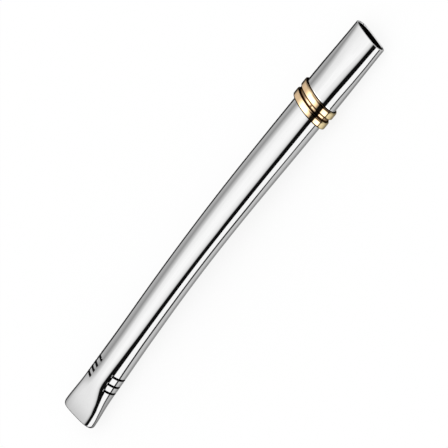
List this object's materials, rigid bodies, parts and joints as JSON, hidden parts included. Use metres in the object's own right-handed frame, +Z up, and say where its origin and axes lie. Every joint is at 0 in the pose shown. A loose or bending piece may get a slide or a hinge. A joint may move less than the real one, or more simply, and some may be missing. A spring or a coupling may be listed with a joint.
{
  "type": "bombilla",
  "caption": "Metal drinking straw for mate: gently bent tube pressed flat to an oval mouth, slotted paddle filter at the tip, brass double-ring collar.",
  "frame": {"origin": "on the table under the middle of the straw, lying with its arched broad face up", "axes": "+X along the straw to the mouth, +Y across its broad face, +Z up out of the arched face"},
  "size_m": [0.1806, 0.0182, 0.0127],
  "materials": {
    "polished_steel": "polished",
    "polished_brass": "polished",
    "solder": "satin"
  },
  "bodies": {
    "root": {"stem_tube": "polished_steel", "tip_seam": "solder", "mouthpiece": "polished_steel", "joint_solder": "solder", "collar_band": "polished_brass", "lower_ring": "polished_brass", "upper_ring": "polished_brass"}
  },
  "joints": []
}
